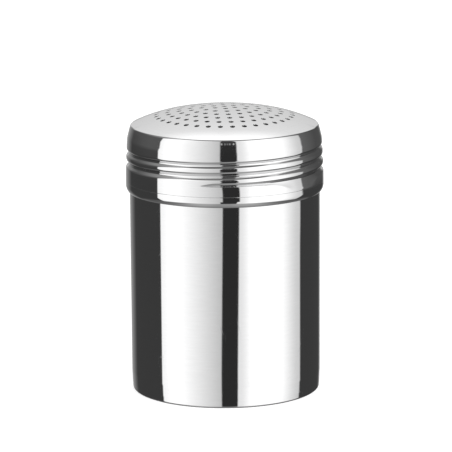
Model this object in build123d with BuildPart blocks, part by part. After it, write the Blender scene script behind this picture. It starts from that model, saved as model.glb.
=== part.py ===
from build123d import *
import math
import os

# ---------------------------------------------------------------------------
# Screw-top shaker for spices or sugar, in thin stainless sheet, millimetres.
# Origin at the centre of the cup's underside, +Z up, front towards -Y.
# ---------------------------------------------------------------------------

# sheet
SHEET = 0.6                 # wall of cup and lid

# cup body
CUP_R = 35.0                # outer radius at the top of the plain wall
CUP_R_BASE = 34.85          # outer radius just above the bottom corner
CUP_CORNER = 2.4            # outer radius of the bottom corner
SHOULDER_Z = 77.6           # where the wall starts to neck in
NECK_Z = 79.4               # where the neck is at its root radius
NECK_R = 34.05              # outer radius of the neck between the thread's turns
MOUTH_Z = 94.0              # top edge of the cup

# lid
TOP_Z = 105.4               # top of the dome
DOME_R1 = 106.0             # radius of the dome's middle
DOME_EDGE1 = 20.0           # distance from the axis where the tighter arc starts
DOME_R2 = 61.0              # radius of the dome's outer part
DOME_SLOPE = 24.0           # slope at the dome's edge, degrees
CORNER_FILLET = 1.5         # outer radius of the corner between dome and band
BAND_SLOPE = 15.0           # lean of the band under the corner, degrees off vertical
BAND_R = 35.74              # outer radius at the foot of the leaning band
BAND_Z = 94.5               # height of that foot; the wall below it flares slightly
SKIRT_R = 36.38             # outer radius of the plain skirt under the thread
SPLIT_Z = 78.4              # line where the curled edge starts
CURL_R = 2.3                # outer radius of the curl
CURL_ANGLE = 44.0           # how far the edge curls in, degrees
EDGE_Z = 74.5               # lowest point of the lid

# thread: right-handed, one start, rolled into the sheet
PITCH = 4.2
LID_THREAD_Z = 81.3         # height of the lid's bead at the front, turn 0
LID_TURNS = (-0.06, 0.06, 2.46, 2.72)    # fade in, full from, full to, fade out
GROOVE_R = 34.95            # bottom of the lid's groove, seen from outside
GROOVE_TOP = 1.35           # half width of the groove at the wall
GROOVE_BOTTOM = 0.22
CUP_THREAD_GAP = 1.8        # the cup's bead lies this far above the lid's bead
CUP_TURNS = (0.10, 0.22, 1.98, 2.12)
BEAD_R = 34.90              # crest of the cup's bead

# shaker holes: a centre hole and rings of 6, 12, 18 ... 36
HOLE_D = 1.75
RING_STEP = 4.18
RINGS = 6
HOLE_START = 36.7           # direction of the common ray, degrees from +X

os.makedirs("parts", exist_ok=True)


def thread_path(z0, turns, shift):
    """Points along a bead: a helix about +Z on a 30 mm reference radius, which moves by shift over its two ends."""
    fade_in, full_from, full_to, fade_out = turns
    n = 20 * 3 + 6
    points = []
    for i in range(n + 1):
        u = fade_in + (fade_out - fade_in) * i / n
        if u < full_from:
            t = (full_from - u) / (full_from - fade_in)
        elif u > full_to:
            t = (u - full_to) / (fade_out - full_to)
        else:
            t = 0.0
        r = 30.0 + shift * (t * t * (3 - 2 * t))
        a = math.radians(270.0 + 360.0 * u)
        points.append((r * math.cos(a), r * math.sin(a), z0 + PITCH * u))
    return points


def section_plane(points):
    """Plane across the start of a path: x axis away from the part's axis, z axis up the path."""
    start = Vector(*points[0])
    ahead = Vector(*points[1]) - start
    outward = Vector(start.X, start.Y, 0).normalized()
    outward = (outward - ahead.normalized() * outward.dot(ahead.normalized())).normalized()
    return Plane(origin=start, x_dir=outward, z_dir=ahead.normalized())


# ---------------------------------------------------------------------------
# Profile of the lid, from the top of the dome down to the start of the curl
# ---------------------------------------------------------------------------
a1 = math.degrees(math.asin(DOME_EDGE1 / DOME_R1))                 # slope where the arcs meet
c1z = TOP_Z - DOME_R1
p1 = (DOME_EDGE1, c1z + DOME_R1 * math.cos(math.radians(a1)))
c2 = (p1[0] - DOME_R2 * math.sin(math.radians(a1)), p1[1] - DOME_R2 * math.cos(math.radians(a1)))
p2 = (c2[0] + DOME_R2 * math.sin(math.radians(DOME_SLOPE)), c2[1] + DOME_R2 * math.cos(math.radians(DOME_SLOPE)))
m1 = (DOME_R1 * math.sin(math.radians(a1 / 2)), c1z + DOME_R1 * math.cos(math.radians(a1 / 2)))
am = (a1 + DOME_SLOPE) / 2
m2 = (c2[0] + DOME_R2 * math.sin(math.radians(am)), c2[1] + DOME_R2 * math.cos(math.radians(am)))
# straight lead from the dome's edge and the leaning band meet at the corner
tan_d = math.tan(math.radians(DOME_SLOPE))
tan_b = math.tan(math.radians(BAND_SLOPE))
bx, bz = BAND_R, BAND_Z
cx = (bz - p2[1] + bx / tan_b - tan_d * p2[0]) / (1 / tan_b - tan_d)
cz = p2[1] - tan_d * (cx - p2[0])
corner = (cx, cz)
print("lid corner at r %.2f z %.2f, dome edge at r %.2f z %.2f" % (corner + p2))


def lid_outline(inset):
    """The lid's side in the XZ plane, moved inwards by inset, as lines and arcs."""
    s, c = math.sin, math.cos
    rad = math.radians
    q0 = (0, TOP_Z - inset)
    r1, r2 = DOME_R1 - inset, DOME_R2 - inset
    qm1 = (r1 * s(rad(a1 / 2)), c1z + r1 * c(rad(a1 / 2)))
    q1 = (r1 * s(rad(a1)), c1z + r1 * c(rad(a1)))
    qm2 = (c2[0] + r2 * s(rad(am)), c2[1] + r2 * c(rad(am)))
    q2 = (c2[0] + r2 * s(rad(DOME_SLOPE)), c2[1] + r2 * c(rad(DOME_SLOPE)))
    # corner moved in along both of its sides
    d0 = (p2[0] - inset * s(rad(DOME_SLOPE)), p2[1] - inset * c(rad(DOME_SLOPE)))
    b0 = (bx - inset * c(rad(BAND_SLOPE)), bz - inset * s(rad(BAND_SLOPE)))
    kx = (b0[1] - d0[1] + b0[0] / tan_b - tan_d * d0[0]) / (1 / tan_b - tan_d)
    kz = d0[1] - tan_d * (kx - d0[0])
    side = [(BAND_R - inset, BAND_Z - inset * 0.13), (SKIRT_R - inset, SPLIT_Z)]
    return q0, qm1, q1, qm2, q2, (kx, kz), side


# ---------------------------------------------------------------------------
# Rolled thread of the lid: the bead that stands inwards, and the groove seen
# outside, follow one path that leads out of the sheet at both ends
# ---------------------------------------------------------------------------
lid_path_points = thread_path(LID_THREAD_Z, LID_TURNS, 1.55)
with BuildLine() as lid_path:
    Spline(*lid_path_points)
lid_section = section_plane(lid_path_points)

with BuildPart() as lid_bead:
    with BuildSketch(lid_section) as lid_bead_section:
        with BuildLine():
            crest = GROOVE_R - SHEET - 30.0
            base = 5.9
            Polyline((crest, -0.45), (base, -1.85), (base, 1.85), (crest, 0.45), close=True)
        make_face()
        fillet([v for v in lid_bead_section.vertices()
                if (Vector(v.X, v.Y, v.Z) - lid_section.origin).dot(lid_section.x_dir) < crest + 0.1], radius=0.35)
    sweep(path=lid_path.wires()[0], is_frenet=True)
    with BuildSketch(Plane.XZ):
        with BuildLine():
            Polyline((30, 74), (36.25, 74), (35.37, 96), (30, 96), close=True)
        make_face()
    revolve(axis=Axis.Z, mode=Mode.INTERSECT)
print("lid bead", lid_bead.part.volume, lid_bead.part.is_valid, len(lid_bead.part.solids()))

with BuildPart() as lid_groove:
    with BuildSketch(lid_section) as lid_groove_section:
        with BuildLine():
            floor = GROOVE_R - 30.0
            top = 6.9
            spread = GROOVE_BOTTOM + (top - floor) * (GROOVE_TOP - GROOVE_BOTTOM) / 1.3
            Polyline((floor, -GROOVE_BOTTOM), (top, -spread), (top, spread), (floor, GROOVE_BOTTOM), close=True)
        make_face()
        fillet([v for v in lid_groove_section.vertices()
                if (Vector(v.X, v.Y, v.Z) - lid_section.origin).dot(lid_section.x_dir) < floor + 0.1], radius=0.18)
    sweep(path=lid_path.wires()[0], is_frenet=True)
print("lid groove", lid_groove.part.volume, lid_groove.part.is_valid)

# ---------------------------------------------------------------------------
# Lid: dome, corner, band, threaded wall and skirt in one sheet
# ---------------------------------------------------------------------------
with BuildPart() as lid:
    with BuildSketch(Plane.XZ) as lid_profile:
        with BuildLine():
            o = lid_outline(0)
            i = lid_outline(SHEET)
            ThreePointArc(o[0], o[1], o[2])
            ThreePointArc(o[2], o[3], o[4])
            Polyline(o[4], o[5], *o[6])
            Line(o[6][-1], i[6][-1])
            Polyline(i[4], i[5], *i[6])
            ThreePointArc(i[2], i[3], i[4])
            ThreePointArc(i[0], i[1], i[2])
            Line(i[0], o[0])
        make_face()
        # round the corner between dome and band, and soften the break under it
        for spot, size in ((o[5], CORNER_FILLET), (i[5], CORNER_FILLET - SHEET), (o[6][0], 3.0), (i[6][0], 2.4)):
            near = Vector(spot[0], spot[1])
            fillet(lid_profile.vertices().sort_by_distance(near)[0], radius=size)
    revolve(axis=Axis.Z)
    print("lid blank", lid.part.volume, lid.part.is_valid)
    add(lid_bead.part)
    add(lid_groove.part, mode=Mode.SUBTRACT)
    print("lid threaded", lid.part.volume, lid.part.is_valid, len(lid.part.solids()))
    with BuildSketch(Plane.XY.offset(TOP_Z - 8.0)):
        Circle(HOLE_D / 2)
        for ring in range(1, RINGS + 1):
            with PolarLocations(RING_STEP * ring, 6 * ring, start_angle=HOLE_START):
                Circle(HOLE_D / 2)
    extrude(amount=12.0, mode=Mode.SUBTRACT)
lid.part.label = "lid"
print("lid", lid.part.volume, lid.part.is_valid, len(lid.part.solids()))
export_step(lid.part, "parts/lid.step")

# ---------------------------------------------------------------------------
# Curled lower edge of the lid: the same sheet, turned in so that it isn't sharp
# ---------------------------------------------------------------------------
curl_in = CURL_R - SHEET
curl_cx = SKIRT_R - CURL_R
curl_end = math.radians(CURL_ANGLE)
curl_mid = curl_end / 2
curl_cz = EDGE_Z + CURL_R * math.sin(curl_end)
with BuildPart() as lid_rolled_rim:
    with BuildSketch(Plane.XZ) as rim_profile:
        with BuildLine():
            outer_end = (curl_cx + CURL_R * math.cos(curl_end), curl_cz - CURL_R * math.sin(curl_end))
            inner_end = (curl_cx + curl_in * math.cos(curl_end), curl_cz - curl_in * math.sin(curl_end))
            Line((SKIRT_R, SPLIT_Z), (SKIRT_R, curl_cz))
            ThreePointArc((SKIRT_R, curl_cz),
                          (curl_cx + CURL_R * math.cos(curl_mid), curl_cz - CURL_R * math.sin(curl_mid)), outer_end)
            Line(outer_end, inner_end)
            ThreePointArc(inner_end,
                          (curl_cx + curl_in * math.cos(curl_mid), curl_cz - curl_in * math.sin(curl_mid)),
                          (SKIRT_R - SHEET, curl_cz))
            Line((SKIRT_R - SHEET, curl_cz), (SKIRT_R - SHEET, SPLIT_Z))
            Line((SKIRT_R - SHEET, SPLIT_Z), (SKIRT_R, SPLIT_Z))
        make_face()
        for spot in (outer_end, inner_end):
            fillet(rim_profile.vertices().sort_by_distance(Vector(*spot))[0], radius=0.2)
    revolve(axis=Axis.Z)
lid_rolled_rim.part.label = "lid_rolled_rim"
print("rim", lid_rolled_rim.part.volume, lid_rolled_rim.part.is_valid, "inner radius %.2f" % inner_end[0])
export_step(lid_rolled_rim.part, "parts/lid_rolled_rim.step")

# ---------------------------------------------------------------------------
# Rolled thread of the cup's neck: the bead stands outwards, hollow inside
# ---------------------------------------------------------------------------
cup_path_points = thread_path(LID_THREAD_Z + CUP_THREAD_GAP, CUP_TURNS, -1.15)
with BuildLine() as cup_path:
    Spline(*cup_path_points)
cup_section = section_plane(cup_path_points)

with BuildPart() as cup_bead:
    with BuildSketch(cup_section) as cup_bead_section:
        with BuildLine():
            crest = BEAD_R - 30.0
            base = NECK_R - 0.3 - 30.0
            Polyline((base, -1.2), (crest, -0.35), (crest, 0.35), (base, 1.2), close=True)
        make_face()
        fillet([v for v in cup_bead_section.vertices()
                if (Vector(v.X, v.Y, v.Z) - cup_section.origin).dot(cup_section.x_dir) > crest - 0.1], radius=0.25)
    sweep(path=cup_path.wires()[0], is_frenet=True)
    with BuildSketch(Plane.XZ):
        with BuildLine():
            Polyline((NECK_R - 0.3, 70), (38, 70), (38, 100), (NECK_R - 0.3, 100), close=True)
        make_face()
    revolve(axis=Axis.Z, mode=Mode.INTERSECT)
print("cup bead", cup_bead.part.volume, cup_bead.part.is_valid, len(cup_bead.part.solids()))

with BuildPart() as cup_groove:
    with BuildSketch(cup_section) as cup_groove_section:
        with BuildLine():
            floor = BEAD_R - SHEET - 30.0
            back = NECK_R - SHEET - 0.7 - 30.0
            Polyline((floor, -0.15), (floor, 0.15), (back, 1.35), (back, -1.35), close=True)
        make_face()
    sweep(path=cup_path.wires()[0], is_frenet=True)
print("cup groove", cup_groove.part.volume, cup_groove.part.is_valid)

# ---------------------------------------------------------------------------
# Cup: bottom, corner, wall, shoulder, neck and mouth in one sheet
# ---------------------------------------------------------------------------
shoulder_r = 1.6
with BuildPart() as cup:
    with BuildSketch(Plane.XZ) as cup_profile:
        with BuildLine():
            outer = [(0, 0), (CUP_R_BASE, 0), (CUP_R, SHOULDER_Z), (NECK_R, NECK_Z), (NECK_R, MOUTH_Z)]
            inner = [(NECK_R - SHEET, MOUTH_Z), (NECK_R - SHEET, NECK_Z - 0.3), (CUP_R - SHEET, SHOULDER_Z - 0.3),
                     (CUP_R_BASE - SHEET, SHEET), (0, SHEET)]
            Polyline(*outer, *inner, close=True)
        make_face()
        for spot, size in (((CUP_R_BASE, 0), CUP_CORNER), ((CUP_R_BASE - SHEET, SHEET), CUP_CORNER - SHEET),
                           ((CUP_R, SHOULDER_Z), shoulder_r), ((NECK_R, NECK_Z), shoulder_r - SHEET),
                           ((CUP_R - SHEET, SHOULDER_Z - 0.3), shoulder_r - SHEET),
                           ((NECK_R - SHEET, NECK_Z - 0.3), shoulder_r),
                           ((NECK_R, MOUTH_Z), 0.25), ((NECK_R - SHEET, MOUTH_Z), 0.25)):
            fillet(cup_profile.vertices().sort_by_distance(Vector(*spot))[0], radius=size)
    revolve(axis=Axis.Z)
    print("cup blank", cup.part.volume, cup.part.is_valid)
    add(cup_bead.part)
    add(cup_groove.part, mode=Mode.SUBTRACT)
cup.part.label = "cup"
print("cup", cup.part.volume, cup.part.is_valid, len(cup.part.solids()))
export_step(cup.part, "parts/cup.step")

steel = 7.93e-3
print("mass g %.1f" % (steel * (cup.part.volume + lid.part.volume + lid_rolled_rim.part.volume)))
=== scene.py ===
import math

import bpy
import numpy as np
from mathutils import Matrix, Vector
from mathutils.geometry import delaunay_2d_cdt


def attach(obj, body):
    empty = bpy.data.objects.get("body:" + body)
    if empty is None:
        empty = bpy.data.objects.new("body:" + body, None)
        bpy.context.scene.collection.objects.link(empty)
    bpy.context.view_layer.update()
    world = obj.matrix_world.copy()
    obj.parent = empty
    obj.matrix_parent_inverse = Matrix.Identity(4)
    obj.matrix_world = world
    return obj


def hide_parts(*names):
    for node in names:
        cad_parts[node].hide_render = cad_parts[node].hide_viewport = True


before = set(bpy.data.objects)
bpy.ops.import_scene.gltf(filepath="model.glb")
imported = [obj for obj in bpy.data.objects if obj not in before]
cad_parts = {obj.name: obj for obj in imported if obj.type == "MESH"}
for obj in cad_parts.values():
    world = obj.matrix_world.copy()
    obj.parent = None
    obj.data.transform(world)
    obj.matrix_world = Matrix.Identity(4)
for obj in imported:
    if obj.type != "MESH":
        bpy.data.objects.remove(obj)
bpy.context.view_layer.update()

MM = 0.001
TAU = 2 * math.pi

# ---------------------------------------------------------------------------
# Sizes, in millimetres, the same frame as the CAD: cup bottom at z 0, front -Y
# ---------------------------------------------------------------------------
SHEET = 0.6
PITCH = 4.2
LID_THREAD_Z = 81.3
LID_TURNS = (-0.068, 0.30, 2.46, 2.72)
GROOVE_R = 35.25
CUP_THREAD_GAP = 1.8
CUP_TURNS = (0.10, 0.22, 1.98, 2.12)
BEAD_R = 34.90
NECK_R = 34.05
NECK_Z = 79.4
MOUTH_Z = 94.0
SPLIT_Z = 78.4
SKIRT_R = 36.38
TOP_Z = 105.4
HOLE_R = 0.875
RING_STEP = 4.18
RINGS = 6
HOLE_START = math.radians(36.7)
HOLE_LIP = 0.10
PERFORATED_R = 27.4


# ---------------------------------------------------------------------------
# Profile tools: (r, z) lines with rounded corners, sampled finely, with normals
# ---------------------------------------------------------------------------
def rounded(points, radii, arc_step=6.0, line_step=4.0):
    """A (r, z) polyline whose inner corners are tangent arcs. Returns points and unit normals to the left of the run."""
    pts = [np.array(p, float) for p in points]
    out, nor = [], []

    def put(p, n):
        if out and np.linalg.norm(out[-1] - p) < 1e-6:
            return
        out.append(p)
        nor.append(n)

    def side(a, b):
        d = (b - a) / np.linalg.norm(b - a)
        return np.array([-d[1], d[0]])

    last = pts[0]
    for i in range(1, len(pts)):
        a, b = pts[i - 1], pts[i]
        n = side(a, b)
        if i < len(pts) - 1 and radii[i] > 0:
            c = pts[i + 1]
            d1 = (a - b) / np.linalg.norm(a - b)
            d2 = (c - b) / np.linalg.norm(c - b)
            half = math.acos(max(-1, min(1, float(d1 @ d2)))) / 2
            cut = radii[i] / math.tan(half)
            s, e = b + d1 * cut, b + d2 * cut
        else:
            s = e = b
        length = np.linalg.norm(s - last)
        k = max(1, int(math.ceil(length / line_step)))
        for j in range(k + 1):
            put(last + (s - last) * j / k, n)
        if s is not e:
            n2 = side(b, c)
            turn = math.atan2(n[0] * n2[1] - n[1] * n2[0], float(n @ n2))
            sign = 1 if turn > 0 else -1
            centre = s - n * radii[i] * (-sign)
            m = max(2, int(math.ceil(abs(math.degrees(turn)) / arc_step)))
            for j in range(1, m + 1):
                t = turn * j / m
                nn = np.array([n[0] * math.cos(t) - n[1] * math.sin(t), n[0] * math.sin(t) + n[1] * math.cos(t)])
                put(centre + nn * radii[i] * (-sign), nn)
        last = e
    return np.array(out), np.array(nor)


def ease(x, lo, hi):
    t = np.clip((x - lo) / (hi - lo), 0, 1)
    return t * t * (3 - 2 * t)


def groove(u, d, rise):
    """The rolled groove's own section: two leaning flanks and a rounded floor, narrower where the groove starts."""
    d = d - rise
    grown = ease(u, 0.18, 0.55)
    soft = 0.03 + (GROOVE_SOFT - 0.03) * grown
    lower = 1.6 - 1.35 * ease(u, 0.03, 0.12) + 0.80 * ease(u, 0.16, 0.23)
    slope = np.where(d > 0, 0.50 + (UPPER_SLOPE - 0.50) * grown, lower)
    d = d - np.clip(d, GROOVE_FLOOR[0] * grown, GROOVE_FLOOR[1] * grown)
    return GROOVE_R + np.sqrt(soft ** 2 + (slope * d) ** 2) - soft


def outer_rise(u):
    """How far the groove sits above its even helix on the outside: most at its start."""
    return 0.12 + 0.18 * (1 - ease(u, 1.3, 1.9)) + 1.06 * (1 - ease(u, -0.10, 0.42))


def lead(u):
    """How far the groove is still out of the sheet: it enters quickly, deepens over a third of a turn, and fades at its end."""
    enter = ease(u, LID_TURNS[0], -0.013)
    deepen = ease(u, 0.0, LID_TURNS[1])
    leave = ease(u, LID_TURNS[2], LID_TURNS[3])
    return 1.6 - 1.06 * enter - 0.54 * deepen + 1.4 * leave + np.where((u < LID_TURNS[0]) | (u > LID_TURNS[3]), 9.0, 0.0)


def hump(d, slope, soft):
    """How far the side of a rolled thread has moved away from its crest, at distance d along the axis."""
    return np.sqrt(soft * soft + (slope * d) ** 2) - soft


def soft_min(a, b, k):
    h = np.clip(0.5 + 0.5 * (b - a) / k, 0, 1)
    return b + (a - b) * h - k * h * (1 - h)


def thread_shift(u, turns, out):
    fade_in, full_from, full_to, fade_out = turns
    t = np.where(u < full_from, (full_from - u) / (full_from - fade_in), np.where(u > full_to, (u - full_to) / (fade_out - full_to), 0.0))
    ts = np.clip(t, 0, 1)
    return out * ts * ts * (3 - 2 * ts) + np.where((u < fade_in) | (u > fade_out), 9.0, 0.0)


def lid_wall(z):
    t = np.clip(94.5 - z, -4, 17)
    return 35.72 + 0.0763 * t - 0.002193 * t * t


def lid_outer(a, z):
    """Outer radius of the lid's threaded wall, at angle a from the front towards +X."""
    wall = lid_wall(z)
    r = wall
    base = a / TAU
    for k in (-1, 0, 1, 2, 3):
        u = base + k
        d = z - (LID_THREAD_Z + PITCH * u)
        near = np.abs(d) < 3.0
        tool = groove(u, d, outer_rise(u)) + lead(u)
        r = np.where(near, soft_min(r, tool, 0.10 + (GROOVE_SHOULDER - 0.10) * ease(u, 0.12, 0.40)), r)
    return r


UPPER_SLOPE, GROOVE_SOFT, GROOVE_SHOULDER, GROOVE_FLOOR = 0.74, 0.16, 0.34, (-0.08, 0.22)


def lid_inner(a, z):
    r = lid_wall(z) - SHEET
    base = a / TAU
    for k in (-1, 0, 1, 2, 3):
        u = base + k
        d = z - (LID_THREAD_Z + PITCH * u)
        near = np.abs(d) < 3.4
        tool = groove(u, d, 0.2 * (1 - ease(u, 0.5, 0.9))) - SHEET - 0.20 + lead(u)
        r = np.where(near, soft_min(r, tool, 0.2), r)
    return np.minimum(r, lid_outer(a, z) - 0.25)


def cup_outer(a, z):
    r = np.full_like(z, NECK_R)
    base = a / TAU
    for k in (-1, 0, 1, 2):
        u = base + k
        d = z - (LID_THREAD_Z + CUP_THREAD_GAP + PITCH * u)
        tool = BEAD_R - hump(d, 1.35, 0.5) - thread_shift(u, CUP_TURNS, 1.0)
        r = -soft_min(-r, -tool, 0.25)
    return r


def cup_inner(a, z):
    r = np.full_like(z, NECK_R - SHEET)
    base = a / TAU
    for k in (-1, 0, 1, 2):
        u = base + k
        d = z - (LID_THREAD_Z + CUP_THREAD_GAP + PITCH * u)
        tool = BEAD_R - SHEET - hump(d, 1.35, 0.2) - thread_shift(u, CUP_TURNS, 1.0)
        r = -soft_min(-r, -tool, 0.3)
    return r


# ---------------------------------------------------------------------------
# A mesh under construction: vertices with their own normals, faces with a slot
# ---------------------------------------------------------------------------
class Shell:
    def __init__(self):
        self.v, self.n, self.f, self.m = [], [], [], []
        self.count = 0

    def add(self, verts, normals):
        first = self.count
        self.v.append(np.asarray(verts, float).reshape(-1, 3))
        self.n.append(np.asarray(normals, float).reshape(-1, 3))
        self.count += len(self.v[-1])
        return first

    def faces(self, faces, slot):
        self.f.extend(faces)
        self.m.extend([slot] * len(faces))

    def strip(self, row_a, row_b, slot, flip=False):
        """Quads between two closed rows of vertex numbers."""
        n = len(row_a)
        faces = []
        for i in range(n):
            j = (i + 1) % n
            q = (row_a[i], row_b[i], row_b[j], row_a[j])
            faces.append(q[::-1] if flip else q)
        self.faces(faces, slot)

    def rings(self, profile, normals, n, slot, flip=False, start=None, phase=0.0):
        """A surface of revolution from (r, z) points, row after row. Returns its first and last row."""
        ang = phase + np.arange(n) * TAU / n
        sa, ca = np.sin(ang), -np.cos(ang)
        rows = []
        for k, ((r, z), (nr, nz)) in enumerate(zip(profile, normals)):
            if k == 0 and start is not None:
                rows.append(start)
                continue
            first = self.add(np.stack([r * sa, r * ca, np.full(n, z)], 1), np.stack([nr * sa, nr * ca, np.full(n, nz)], 1))
            rows.append(list(range(first, first + n)))
        for a, b in zip(rows[:-1], rows[1:]):
            self.strip(a, b, slot, flip)
        return rows[0], rows[-1]

    def field(self, fn, zs, n, slot, outward=1, flip=False, start=None, phase=0.0, follow=None):
        """A surface r = fn(angle, z) over rows of heights zs, with its true normals. follow moves a row up or down along the way."""
        ang = phase + np.arange(n) * TAU / n
        e = 0.01
        rows = []
        for k, z in enumerate(zs):
            if k == 0 and start is not None:
                rows.append(start)
                continue
            zz = np.full(n, float(z))
            if follow is not None:
                zz = zz + follow(ang, zz)
            r = fn(ang, zz)
            drdz = (fn(ang, zz + e) - fn(ang, zz - e)) / (2 * e)
            drda = (fn(ang + 0.002, zz) - fn(ang - 0.002, zz)) / 0.004
            radial = np.stack([np.sin(ang), -np.cos(ang), np.zeros(n)], 1)
            around = np.stack([np.cos(ang), np.sin(ang), np.zeros(n)], 1)
            nor = radial - around * (drda / r)[:, None]
            nor[:, 2] -= drdz
            nor *= outward / np.linalg.norm(nor, axis=1)[:, None]
            first = self.add(np.stack([r * np.sin(ang), -r * np.cos(ang), zz], 1), nor)
            rows.append(list(range(first, first + n)))
        for a, b in zip(rows[:-1], rows[1:]):
            self.strip(a, b, slot, flip)
        return rows[0], rows[-1]

    def cap(self, row, z, normal, slot, flip=False):
        """Closes a row of vertices with a fan to the axis."""
        first = self.add([(0, 0, z)], [normal])
        n = len(row)
        faces = []
        for i in range(n):
            t = (row[i], first, row[(i + 1) % n])
            faces.append(t[::-1] if flip else t)
        self.faces(faces, slot)

    def build(self, name, materials):
        verts = np.concatenate(self.v) * MM
        normals = np.concatenate(self.n)
        normals /= np.linalg.norm(normals, axis=1)[:, None]
        mesh = bpy.data.meshes.new(name)
        mesh.from_pydata(verts.tolist(), [], self.f)
        for material in materials:
            mesh.materials.append(material)
        mesh.polygons.foreach_set("material_index", np.array(self.m, np.int32))
        mesh.polygons.foreach_set("use_smooth", np.ones(len(self.f), bool))
        mesh.update()
        mesh.normals_split_custom_set_from_vertices(normals.tolist())
        obj = bpy.data.objects.new(name, mesh)
        bpy.context.scene.collection.objects.link(obj)
        return obj


# ---------------------------------------------------------------------------
# Node helpers
# ---------------------------------------------------------------------------
class Tree:
    def __init__(self, tree):
        self.t = tree
        self.x = -1400

    def node(self, kind, **props):
        n = self.t.nodes.new(kind)
        for k, v in props.items():
            setattr(n, k, v)
        return n

    def link(self, a, b):
        self.t.links.new(a, b)

    def math(self, op, a, b=None, c=None, clamp=False):
        n = self.node("ShaderNodeMath", operation=op, use_clamp=clamp)
        for i, v in enumerate((a, b, c)):
            if v is None:
                continue
            if isinstance(v, (int, float)):
                n.inputs[i].default_value = v
            else:
                self.link(v, n.inputs[i])
        return n.outputs[0]

    def add(self, a, b):
        return self.math("ADD", a, b)

    def sub(self, a, b):
        return self.math("SUBTRACT", a, b)

    def mul(self, a, b):
        return self.math("MULTIPLY", a, b)

    def step(self, x, lo, hi, out_lo=0.0, out_hi=1.0, kind="SMOOTHSTEP"):
        n = self.node("ShaderNodeMapRange", interpolation_type=kind, clamp=True)
        self.link(x, n.inputs["Value"])
        n.inputs["From Min"].default_value = lo
        n.inputs["From Max"].default_value = hi
        n.inputs["To Min"].default_value = out_lo
        n.inputs["To Max"].default_value = out_hi
        return n.outputs[0]

    def mix(self, t, a, b):
        n = self.node("ShaderNodeMix", data_type="FLOAT")
        for s, v in ((n.inputs[0], t), (n.inputs[2], a), (n.inputs[3], b)):
            if isinstance(v, (int, float)):
                s.default_value = v
            else:
                self.link(v, s)
        return n.outputs[0]

    def noise(self, vector, scale, detail=3.0, rough=0.55):
        n = self.node("ShaderNodeTexNoise")
        self.link(vector, n.inputs["Vector"])
        n.inputs["Scale"].default_value = scale
        n.inputs["Detail"].default_value = detail
        n.inputs["Roughness"].default_value = rough
        return n.outputs["Fac"]

    def combine(self, x, y, z):
        n = self.node("ShaderNodeCombineXYZ")
        for s, v in zip(n.inputs, (x, y, z)):
            if isinstance(v, (int, float)):
                s.default_value = v
            else:
                self.link(v, s)
        return n.outputs[0]


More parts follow.
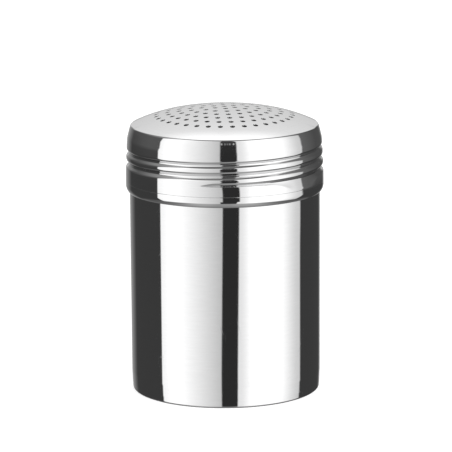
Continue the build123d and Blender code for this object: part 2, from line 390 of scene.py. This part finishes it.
# ---------------------------------------------------------------------------
# Materials: stainless steel, mirror-polished outside and satin inside
# ---------------------------------------------------------------------------
def steel(name, colour, rough, streak_rough, line_bump, wave_bump, scratch_bump, along="z"):
    """Steel turned and buffed on a lathe: fine lines round the axis, soft waves, thin hairline scratches.
    along says which way the lines are stacked: up the axis, or out from it as on a dome."""
    mat = bpy.data.materials.new(name)
    mat.use_nodes = True
    t = Tree(mat.node_tree)
    bsdf = mat.node_tree.nodes["Principled BSDF"]
    coord = t.node("ShaderNodeTexCoord").outputs["Object"]
    sep = t.node("ShaderNodeSeparateXYZ")
    t.link(coord, sep.inputs[0])
    x, y, z = sep.outputs
    r = t.math("SQRT", t.add(t.mul(x, x), t.mul(y, y)))
    angle = t.math("ARCTAN2", x, t.mul(y, -1.0))
    stack = z if along == "z" else r
    # lathe lines: long round the axis, fine across it
    lines = t.noise(t.combine(t.mul(t.math("COSINE", angle), 0.002), t.mul(t.math("SINE", angle), 0.002), stack), 5200.0, 4.0, 0.65)
    broad = t.noise(t.combine(t.mul(t.math("COSINE", angle), 0.004), t.mul(t.math("SINE", angle), 0.004), stack), 1500.0, 3.0, 0.6)
    # buffing haze and handling marks
    haze = t.noise(coord, 55.0, 4.0, 0.6)
    fine = t.noise(coord, 420.0, 3.0, 0.6)
    # hairline scratches: thin ridges of a stretched cell pattern
    warp = t.node("ShaderNodeVectorMath", operation="ADD")
    t.link(coord, warp.inputs[0])
    nudge = t.node("ShaderNodeTexNoise")
    t.link(coord, nudge.inputs["Vector"])
    nudge.inputs["Scale"].default_value = 40.0
    scaled = t.node("ShaderNodeVectorMath", operation="SCALE")
    t.link(nudge.outputs["Color"], scaled.inputs[0])
    scaled.inputs["Scale"].default_value = 0.012
    t.link(scaled.outputs[0], warp.inputs[1])
    stretch = t.node("ShaderNodeVectorMath", operation="MULTIPLY")
    t.link(warp.outputs[0], stretch.inputs[0])
    stretch.inputs[1].default_value = (1.0, 1.0, 0.22)
    cells = t.node("ShaderNodeTexVoronoi", feature="DISTANCE_TO_EDGE")
    t.link(stretch.outputs[0], cells.inputs["Vector"])
    cells.inputs["Scale"].default_value = 150.0
    scratch = t.mul(t.step(cells.outputs[0], 0.0, 0.018, 1.0, 0.0), t.step(haze, 0.5, 0.62))

    tone = t.add(t.mul(t.sub(broad, 0.5), 0.075), t.mul(t.sub(haze, 0.5), 0.020))
    value = t.add(t.sub(tone, t.mul(scratch, 0.02)), 1.0)
    col = t.node("ShaderNodeMix", data_type="RGBA", blend_type="MULTIPLY")
    col.inputs[0].default_value = 1.0
    col.inputs[6].default_value = (*colour, 1)
    rgb = t.node("ShaderNodeCombineColor")
    for s in rgb.inputs:
        t.link(value, s)
    t.link(rgb.outputs[0], col.inputs[7])
    t.link(col.outputs[2], bsdf.inputs["Base Color"])

    rr = t.add(t.mul(t.sub(lines, 0.5), streak_rough), t.mul(t.sub(haze, 0.5), rough * 0.5))
    rr = t.add(t.add(rr, t.mul(scratch, 0.08)), rough)
    t.link(t.math("MAXIMUM", rr, 0.012), bsdf.inputs["Roughness"])
    bsdf.inputs["Metallic"].default_value = 1.0
    bsdf.inputs["Specular IOR Level"].default_value = 0.5

    height = t.add(t.mul(lines, line_bump), t.mul(broad, line_bump * 2.5))
    height = t.add(height, t.mul(haze, wave_bump))
    height = t.sub(height, t.mul(scratch, scratch_bump))
    height = t.add(height, t.mul(fine, line_bump * 0.4))
    bump = t.node("ShaderNodeBump")
    bump.inputs["Strength"].default_value = 1.0
    bump.inputs["Distance"].default_value = 0.001
    t.link(height, bump.inputs["Height"])
    t.link(bump.outputs[0], bsdf.inputs["Normal"])
    return mat


STEEL = (0.620, 0.620, 0.622)
mirror_wall = steel("steel_mirror_wall", STEEL, 0.040, 0.020, 0.00035, 0.0010, 0.0006, "z")
mirror_dome = steel("steel_mirror_dome", STEEL, 0.055, 0.020, 0.00035, 0.0012, 0.0006, "r")
satin = steel("steel_satin_inside", (0.56, 0.56, 0.56), 0.24, 0.10, 0.004, 0.004, 0.002, "z")
cut_edge = steel("steel_cut_edge", (0.66, 0.66, 0.66), 0.12, 0.05, 0.002, 0.002, 0.001, "z")
# hole walls: rough like a sheared face, with a dark base colour that is painted shade inside the holes
hole_wall_painted_shade = steel("steel_hole_wall_painted_shade", (0.26, 0.26, 0.26), 0.30, 0.10, 0.003, 0.002, 0.001, "z")

# ---------------------------------------------------------------------------
# Cup
# ---------------------------------------------------------------------------
N_CUP = 320
cup = Shell()
bottom = [(6.0, 0.35), (24.0, 0.30), (31.0, 0.02), (33.0, 0.0), (34.50, 0.0), (34.66, 2.6), (34.84, 7.0), (34.87, 12.0), (35.0, 77.6), (NECK_R, 79.4), (NECK_R, 80.6)]
radii = [0, 20.0, 6.0, 3.0, 0.85, 12.0, 20.0, 0, 1.6, 1.0, 0]
prof, nor = rounded(bottom, radii, 6.0, 4.0)
nor = -nor
first, last = cup.rings(prof, nor, N_CUP, 0, flip=True)
cup.cap(first, prof[0][1], (0, 0, -1), 0)
zs = np.concatenate([[80.6], np.linspace(80.8, 93.3, 96)])
_, last = cup.field(cup_outer, zs, N_CUP, 0, start=last, flip=True)
mouth = [(NECK_R, 93.3), (NECK_R, MOUTH_Z), (NECK_R - SHEET, MOUTH_Z), (NECK_R - SHEET, 93.2)]
prof, nor = rounded(mouth, [0, 0.26, 0.26, 0], 18, 1)
_, last = cup.rings(prof, -nor, N_CUP, 2, start=last, flip=True)
zs = np.concatenate([[93.2], np.linspace(93.0, 80.6, 62)])
_, last = cup.field(cup_inner, zs, N_CUP, 1, outward=-1, start=last, flip=True)
inside = [(NECK_R - SHEET, 80.6), (NECK_R - SHEET, 79.1), (34.4, 77.3), (34.27, 12.0), (34.24, 7.0), (34.05, 2.8), (33.9, 0.62), (31.0, 0.64), (24.0, 0.92), (6.0, 0.96)]
prof, nor = rounded(inside, [0, 1.6, 1.0, 0, 18.0, 10.0, 1.2, 4.0, 20.0, 0], 9.0, 6.0)
_, last = cup.rings(prof, -nor, N_CUP, 1, start=last, flip=True)
cup.cap(last, 0.96, (0, 0, 1), 1, flip=True)
cup_obj = cup.build("cup_shell", [mirror_wall, satin, cut_edge])

# ---------------------------------------------------------------------------
# Lid: perforated dome, corner, leaning band and threaded wall
# ---------------------------------------------------------------------------
N_LID = 288
DOME_R1, DOME_EDGE1, DOME_R2, DOME_SLOPE = 106.0, 20.0, 61.0, math.radians(24.0)
_a1 = math.asin(DOME_EDGE1 / DOME_R1)
_c1z = TOP_Z - DOME_R1
_p1 = (DOME_EDGE1, _c1z + DOME_R1 * math.cos(_a1))
_c2 = (_p1[0] - DOME_R2 * math.sin(_a1), _p1[1] - DOME_R2 * math.cos(_a1))


def dome(r, inset=0.0):
    """Height and slope normal (nr, nz) of the dome at distance r from the axis."""
    r = np.asarray(r, float)
    r1, r2 = DOME_R1 - inset, DOME_R2 - inset
    z1 = _c1z + np.sqrt(np.maximum(r1 * r1 - r * r, 1e-6))
    q = r - _c2[0]
    z2 = _c2[1] + np.sqrt(np.maximum(r2 * r2 - q * q, 1e-6))
    inner = r < DOME_EDGE1 - inset * math.sin(_a1)
    z = np.where(inner, z1, z2)
    s = np.where(inner, r / r1, q / r2)
    return z, s, np.sqrt(1 - s * s)


def dome_points(xy, inset, sign):
    r = np.hypot(xy[:, 0], xy[:, 1])
    z, s, c = dome(r, inset)
    rr = np.maximum(r, 1e-9)
    pts = np.stack([xy[:, 0], xy[:, 1], z], 1)
    nor = np.stack([xy[:, 0] / rr * s, xy[:, 1] / rr * s, c], 1) * sign
    return pts, nor


HOLE_SEGS = 20
centres = [(0.0, 0.0)]
for ring in range(1, RINGS + 1):
    for j in range(6 * ring):
        a = HOLE_START + TAU * j / (6 * ring)
        centres.append((RING_STEP * ring * math.cos(a), RING_STEP * ring * math.sin(a)))
centres = np.array(centres)

ang = np.arange(N_LID) * TAU / N_LID
flat = [np.stack([PERFORATED_R * np.sin(ang), -PERFORATED_R * np.cos(ang)], 1)]
edges = [(i, (i + 1) % N_LID) for i in range(N_LID)]
hole_loops = []
count = N_LID
hs = np.arange(HOLE_SEGS) * TAU / HOLE_SEGS
for cx, cy in centres:
    R = HOLE_R + HOLE_LIP
    flat.append(np.stack([cx + R * np.sin(hs), cy - R * np.cos(hs)], 1))
    edges += [(count + i, count + (i + 1) % HOLE_SEGS) for i in range(HOLE_SEGS)]
    hole_loops.append(list(range(count, count + HOLE_SEGS)))
    count += HOLE_SEGS
hole_end = count
# a guard ring round each hole, then a loose grid between
g = np.arange(12) * TAU / 12 + 0.13
for cx, cy in centres:
    flat.append(np.stack([cx + 1.42 * np.sin(g), cy - 1.42 * np.cos(g)], 1))
step = 1.0
grid = []
for iy in range(-34, 35):
    for ix in range(-34, 35):
        px, py = (ix + 0.5 * (iy % 2)) * step, iy * step * 0.866
        if math.hypot(px, py) < PERFORATED_R - 0.7 and np.hypot(centres[:, 0] - px, centres[:, 1] - py).min() > 1.85:
            grid.append((px, py))
flat.append(np.array(grid))
flat = np.concatenate(flat)
cdt = delaunay_2d_cdt([Vector(p) for p in flat], edges, [], 0, 1e-6, True)
tv, tf, tid = cdt[0], cdt[2], cdt[3]
assert len(tv) == len(flat), "the plan of the dome gained or lost points"
order = [ids[0] for ids in tid]
tris = []
for f in tf:
    f = [order[i] for i in f]
    owner = {(i - N_LID) // HOLE_SEGS if N_LID <= i < hole_end else -1 for i in f}
    if len(owner) == 1 and -1 not in owner:
        continue
    a, b, c = flat[f[0]], flat[f[1]], flat[f[2]]
    if (b[0] - a[0]) * (c[1] - a[1]) - (b[1] - a[1]) * (c[0] - a[0]) < 0:
        f = f[::-1]
    tris.append(tuple(f))

lid = Shell()
pts, nor = dome_points(flat, 0.0, 1)
lid.add(pts, nor)
lid.faces(tris, 0)
pts, nor = dome_points(flat, SHEET, -1)
inner0 = lid.add(pts, nor)
lid.faces([(a + inner0, c + inner0, b + inner0) for a, b, c in tris], 2)

# punched holes: a drawn-in lip outside, a straight wall, a small break inside; the wall and the break take the dark
# hole-wall steel, whose dark colour is painted shade inside the holes
for (cx, cy), loop in zip(centres, hole_loops):
    sx, sy = np.sin(hs), -np.cos(hs)
    ring_xy = flat[loop]
    top, tn = dome_points(ring_xy, 0.0, 1)
    bottom_pts, bn = dome_points(ring_xy, SHEET, -1)
    previous = loop
    for deg in (25, 50, 72, 90):
        t = math.radians(deg)
        rad = HOLE_R + HOLE_LIP * (1 - math.sin(t))
        xy = np.stack([cx + rad * sx, cy + rad * sy], 1)
        p, n = dome_points(xy, 0.0, 1)
        p[:, 2] -= HOLE_LIP * (1 - math.cos(t))
        inward = np.stack([-sx, -sy, np.zeros(HOLE_SEGS)], 1)
        n = n * math.cos(t) + inward * math.sin(t)
        first = lid.add(p, n)
        row = list(range(first, first + HOLE_SEGS))
        lid.strip(previous, row, 0, flip=True)
        previous = row
    for rad, drop, blend in ((HOLE_R, 0.07, 0.0), (HOLE_R + 0.06, 0.0, 0.7)):
        xy = np.stack([cx + rad * sx, cy + rad * sy], 1)
        p, n = dome_points(xy, SHEET, -1)
        p[:, 2] += drop
        inward = np.stack([-sx, -sy, np.zeros(HOLE_SEGS)], 1)
        n = n * blend + inward * (1 - blend)
        first = lid.add(p, n)
        row = list(range(first, first + HOLE_SEGS))
        lid.strip(previous, row, 1, flip=True)
        previous = row
    lid.strip(previous, [inner0 + i for i in loop], 1, flip=True)

# dome's plain ring and the corner, outside
tan_d, tan_b = math.tan(DOME_SLOPE), math.tan(math.radians(15.0))
dome_end = 33.0
ze, se, ce = dome(dome_end)
_pe = (_c2[0] + DOME_R2 * math.sin(DOME_SLOPE), _c2[1] + DOME_R2 * math.cos(DOME_SLOPE))
band_r, band_z = 35.72, 94.5
mid_z = 97.7
mid_r, tan_c = band_r - (mid_z - band_z) * tan_b, math.tan(math.radians(20.0))
corner_r = (mid_r - tan_c * (_pe[1] + tan_d * _pe[0] - mid_z)) / (1 - tan_c * tan_d)
corner_z = _pe[1] - tan_d * (corner_r - _pe[0])
rs = np.linspace(PERFORATED_R, 33.0, 9)
z, s, c = dome(rs)
prof = np.stack([rs, z], 1)
nor = np.stack([s, c], 1)
outer_boundary = list(range(N_LID))
_, last = lid.rings(prof, nor, N_LID, 0, start=outer_boundary, flip=False)
side_pts = [tuple(prof[-1]), (corner_r, corner_z), (mid_r, mid_z), (float(lid_wall(np.array(94.2))) + 0.0, 94.2), (float(lid_wall(np.array(93.4))), 93.4)]
prof2, nor2 = rounded(side_pts, [0, 0.95, 13.5, 8.0, 0], 1.6, 1.2)
_, last = lid.rings(prof2, nor2, N_LID, 0, start=last)
Z_TOP_FIELD = 93.4
zs = np.concatenate([[Z_TOP_FIELD], np.linspace(93.3, 79.6, 144), [79.2, 78.8, 78.52]])


def along_thread(a, z):
    """Rows run along the thread over the front and come back round the rear, so its section is sampled evenly."""
    w = np.mod(a + math.pi, TAU) - math.pi
    lift = np.where(np.abs(w) < 1.9, w, np.sign(w) * 1.9 * (math.pi - np.abs(w)) / (math.pi - 1.9)) * PITCH / TAU
    return lift * np.clip((z - 79.2) / 1.6, 0, 1) * np.clip((93.3 - z) / 1.6, 0, 1)


_, last = lid.field(lid_outer, zs, N_LID, 3, start=last, follow=along_thread)
# bottom edge where the curled edge follows on
r_out = float(lid_wall(np.array(78.45)))
prof3 = [(r_out, 78.52), (r_out, 78.44), (r_out - 0.05, SPLIT_Z + 0.01), (r_out - SHEET + 0.05, SPLIT_Z + 0.01), (r_out - SHEET, 78.44), (r_out - SHEET, 78.52)]
nor3 = [(1, 0), (0.9, -0.4), (0.3, -0.95), (-0.3, -0.95), (-0.9, -0.4), (-1, 0)]
_, last = lid.rings(prof3, nor3, N_LID, 3, start=last)
zs = np.concatenate([[78.52, 79.0], np.linspace(79.4, 93.8, 34)])
_, last = lid.field(lid_inner, zs, N_LID, 4, outward=-1, start=last)
# inside of the band, the corner and the dome's ring
r_top = float(lid_wall(np.array(93.8))) - SHEET
inner_corner_r, inner_corner_z = corner_r - 0.62, corner_z - 0.52
ri = np.linspace(32.6, PERFORATED_R, 6)
zi, si, ci = dome(ri, SHEET)
pts_in = [(r_top, 93.8), (inner_corner_r, inner_corner_z), (32.6, float(zi[0]))]
prof4, nor4 = rounded(pts_in, [0, 0.8, 0], 8, 1.2)
_, last = lid.rings(prof4, -nor4 * -1 if False else nor4, N_LID, 4, start=last)
prof5 = np.stack([ri, zi], 1)
nor5 = -np.stack([si, ci], 1)
inner_ring = list(range(inner0, inner0 + N_LID))
_, last = lid.rings(prof5[:-1], nor5[:-1], N_LID, 4, start=last)
lid.strip(last, inner_ring, 4)
# slot 1 is the hole-wall steel, painted dark as shade inside the holes
lid_obj = lid.build("lid_shell", [mirror_dome, hole_wall_painted_shade, satin, mirror_wall, satin])

# ---------------------------------------------------------------------------
# Curled lower edge of the lid
# ---------------------------------------------------------------------------
CURL_R, CURL_ANGLE, EDGE_Z = 3.5, math.radians(42.0), 74.5
N_RIM = 320
rim = Shell()
cx, cz = SKIRT_R - CURL_R, EDGE_Z + CURL_R * math.sin(CURL_ANGLE)
pr, nr = [], []
for z in (78.38, 78.30, 77.7, cz + 0.15):
    pr.append((SKIRT_R, z))
    nr.append((1, 0))
pr[0] = (SKIRT_R - 0.05, 78.39)
nr[0] = (0.5, 0.85)
for j in range(0, 23):
    t = CURL_ANGLE * 0.97 * j / 22
    pr.append((cx + CURL_R * math.cos(t), cz - CURL_R * math.sin(t)))
    nr.append((math.cos(t), -math.sin(t)))
# rounded cut edge
te = CURL_ANGLE
mid_r = CURL_R - SHEET / 2
for j in range(1, 8):
    w = math.pi * j / 8
    rr = mid_r + SHEET / 2 * math.cos(w)
    tt = te * 0.97 + (SHEET / 2 * math.sin(w)) / CURL_R * 0.8
    pr.append((cx + rr * math.cos(tt), cz - rr * math.sin(tt)))
    ra = (math.cos(te), -math.sin(te))
    ta = (-math.sin(te), -math.cos(te))
    nr.append((ra[0] * math.cos(w) + ta[0] * math.sin(w), ra[1] * math.cos(w) + ta[1] * math.sin(w)))
for j in range(14, -1, -1):
    t = CURL_ANGLE * 0.97 * j / 14
    pr.append((cx + (CURL_R - SHEET) * math.cos(t), cz - (CURL_R - SHEET) * math.sin(t)))
    nr.append((-math.cos(t), math.sin(t)))
for z in (cz + 0.2, 78.30):
    pr.append((SKIRT_R - SHEET, z))
    nr.append((-1, 0))
pr.append((SKIRT_R - SHEET + 0.05, 78.39))
nr.append((-0.5, 0.85))
pr.append(pr[0])
nr.append(nr[0])
first, last = rim.rings(pr[:-1], nr[:-1], N_RIM, 0)
rim.strip(last, first, 0)
k = 0
rim_obj = rim.build("lid_curled_edge", [mirror_wall])

for obj, body, node, slot_name in ((cup_obj, "cup", "cup", "cup_steel"), (lid_obj, "lid", "lid", "lid_steel"), (rim_obj, "lid_rim", "lid_rolled_rim", "lid_steel")):
    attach(obj, body)
    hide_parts(node)

# ---------------------------------------------------------------------------
# Studio: pale floor, white surround with softboxes and dark flags in the world
# ---------------------------------------------------------------------------
floor_mesh = bpy.data.meshes.new("studio_floor")
F = 6.0
floor_mesh.from_pydata([(-F, -F, 0), (F, -F, 0), (F, F, 0), (-F, F, 0)], [], [(0, 1, 2, 3)])
floor = bpy.data.objects.new("studio_floor", floor_mesh)
bpy.context.scene.collection.objects.link(floor)
floor.location.z = -0.00002
fmat = bpy.data.materials.new("pale_floor")
fmat.use_nodes = True
ft = Tree(fmat.node_tree)
fb = fmat.node_tree.nodes["Principled BSDF"]
fb.inputs["Base Color"].default_value = (0.86, 0.86, 0.86, 1)
fb.inputs["Roughness"].default_value = 0.9
fb.inputs["Specular IOR Level"].default_value = 0.0
fb.inputs["Emission Color"].default_value = (1, 1, 1, 1)
fb.inputs["Emission Strength"].default_value = 0.55
floor_mesh.materials.append(fmat)
floor.visible_glossy = False

world = bpy.data.worlds.new("studio")
bpy.context.scene.world = world
world.use_nodes = True
wt = Tree(world.node_tree)
background = world.node_tree.nodes["Background"]
direction = wt.node("ShaderNodeTexCoord").outputs["Generated"]
sep = wt.node("ShaderNodeSeparateXYZ")
wt.link(direction, sep.inputs[0])
dx, dy, dz = sep.outputs
DEG = 180 / math.pi
az = wt.mul(wt.math("ARCTAN2", dx, wt.mul(dy, -1.0)), DEG)          # 0 at the front, 90 towards +X
el = wt.mul(wt.math("ARCSINE", wt.math("MINIMUM", wt.math("MAXIMUM", dz, -1.0), 1.0)), DEG)
over = wt.mul(wt.math("ARCTAN2", dz, wt.mul(dy, -1.0)), DEG)        # 0 front horizon, 90 overhead, 180 back horizon

# two tall softboxes either side of a narrow dark gap, with the light falling off towards one side of each
side = wt.math("ABSOLUTE", az)
width = wt.math("ABSOLUTE", dx)
lean = wt.add(wt.step(el, -10.4, -5.0, -1.1, 1.8), wt.step(el, -14.3, -11.5, 2.9, 0.0, "LINEAR"))
az_gap = wt.add(az, lean)
az_left = wt.sub(az, wt.step(el, -12.0, 18.0, 0.0, 1.8, "LINEAR"))
left_box = wt.mul(wt.step(az_left, -85.7, -83.7), wt.step(az_gap, -4.6, -2.6, 1.0, 0.0))
left_light = wt.step(az, -58.0, -6.0, 1.72, 0.84, "LINEAR")
left_light = wt.mul(left_light, wt.step(az, -87.0, -66.0, 0.86, 1.0))
az_right = wt.sub(az, wt.add(wt.add(wt.step(el, -12.2, -11.7, 0.0, 0.7), wt.step(el, -11.35, -11.15, 0.0, -2.1)), wt.step(el, -10.0, -8.0, 0.0, 1.4)))
right_box = wt.mul(wt.step(az_gap, 15.3, 17.3), wt.step(az_right, 101.4, 104.6, 1.0, 0.0))
right_light = wt.mul(wt.step(az, 17.0, 36.0, 1.25, 1.80), wt.step(az, 63.0, 102.0, 1.0, 0.53))
# black flags in the gap and behind the softboxes, a little lighter where they catch the ceiling
flag = wt.step(side, 10.0, 60.0, 0.037, 0.063)
flag = wt.mix(wt.mul(wt.step(az, 60.0, 90.0), wt.step(el, -11.15, -10.4)), flag, wt.step(az, 102.0, 135.0, 0.19, 0.10, "LINEAR"))
flag = wt.mix(wt.mul(wt.step(az, -90.0, -60.0, 1.0, 0.0), wt.step(el, -9.5, 5.0, 0.0, 1.0, "LINEAR")), flag, wt.step(az, -135.0, -100.0, 0.10, 0.136, "LINEAR"))
flag = wt.mul(flag, wt.mix(wt.step(az, 60.0, 90.0), wt.step(el, 14.0, 62.0, 1.0, 4.2), wt.step(el, 14.0, 62.0, 1.0, 2.0)))
# a row of small lamps high in the gap
lamps = 0.0
for lamp_az, power in ((-3.6, 0.70), (0.54, 0.30), (3.6, 0.24), (6.5, 0.38), (11.2, 0.75)):
    lamps = wt.add(lamps, wt.step(wt.math("ABSOLUTE", wt.sub(az, lamp_az)), 0.4, 1.2, power, 0.0))
lamps = wt.mul(lamps, wt.mul(wt.step(el, 19.4, 21.0), wt.step(el, 24.5, 26.5, 1.0, 0.0)))
flag = wt.add(flag, lamps)
# past the flags the backdrop comes up slowly
rim = wt.add(wt.step(az, -180.0, -140.0, 0.52, 0.0, "LINEAR"), wt.step(az, 157.0, 180.0, 0.0, 0.52, "LINEAR"))
ring_light = wt.add(wt.add(wt.mul(left_box, left_light), wt.mul(right_box, right_light)), rim)
covered = wt.math("MINIMUM", wt.add(left_box, right_box), 1.0)
ring_light = wt.add(ring_light, wt.mul(wt.sub(1.0, covered), flag))

# overhead: dark between the softboxes' tops and the bright cove over the back
top = wt.step(over, 30.0, 112.0, 0.10, 0.30)
cove = wt.add(wt.step(over, 138.0, 176.0, 1.15, 0.765, "LINEAR"), wt.step(wt.sub(over, wt.mul(width, 20.0)), 116.0, 135.0, 0.75, 0.0))
box_top = wt.step(el, 58.0, 66.0, 1.0, 0.0)
upper = wt.mix(box_top, top, ring_light)
behind = wt.math("MAXIMUM", wt.mul(wt.step(side, 150.0, 160.0), wt.step(el, 13.0, 19.0)), wt.mul(wt.step(side, 161.0, 168.0), wt.step(el, -3.0, 4.0)))
behind = wt.mul(behind, wt.step(over, 112.0, 122.0))
upper = wt.mix(behind, upper, cove)

# the table in front, dimmer towards the sides and under the gap
table = wt.mul(wt.step(dy, -0.7, 0.55, 0.60, 0.20), wt.step(width, 0.45, 0.75, 1.0, 0.5))
table = wt.mul(table, wt.step(width, 0.05, 0.35, 0.70, 1.0))
below = wt.step(el, -38.0, -30.0, 1.0, 0.0)
light = wt.mix(below, upper, table)
# the camera itself sees plain white behind everything
cam_ray = wt.node("ShaderNodeLightPath").outputs["Is Camera Ray"]
light = wt.mix(cam_ray, light, 1.05)
col = wt.node("ShaderNodeCombineColor")
for s in col.inputs:
    wt.link(light, s)
wt.link(col.outputs[0], background.inputs["Color"])
background.inputs["Strength"].default_value = 1.0
world.cycles.sampling_method = "MANUAL"
world.cycles.sample_map_resolution = 1024

# ---------------------------------------------------------------------------
# Camera
# ---------------------------------------------------------------------------
cam_data = bpy.data.cameras.new("camera")
cam = bpy.data.objects.new("camera", cam_data)
bpy.context.scene.collection.objects.link(cam)
tilt, roll, distance = math.radians(11.739), math.radians(0.375), 1.318215
target = Vector((0.000348, 0.0, 0.060571))
back_v = Vector((0, -math.cos(tilt), math.sin(tilt)))
right_v = Vector((1, 0, 0))
up_v = Vector((0, math.sin(tilt), math.cos(tilt)))
x_axis = right_v * math.cos(roll) - up_v * math.sin(roll)
y_axis = right_v * math.sin(roll) + up_v * math.cos(roll)
rot = Matrix((x_axis, y_axis, back_v)).transposed()
cam.matrix_world = Matrix.Translation(target + back_v * distance) @ rot.to_4x4()
cam_data.sensor_width = 36.0
cam_data.lens = 284.49
cam_data.clip_start = 0.05
cam_data.clip_end = 50.0
bpy.context.scene.camera = cam

scene = bpy.context.scene
scene.view_settings.view_transform = "Standard"
scene.view_settings.look = "None"
scene.cycles.max_bounces = 16
scene.cycles.glossy_bounces = 12
scene.cycles.use_denoising = True
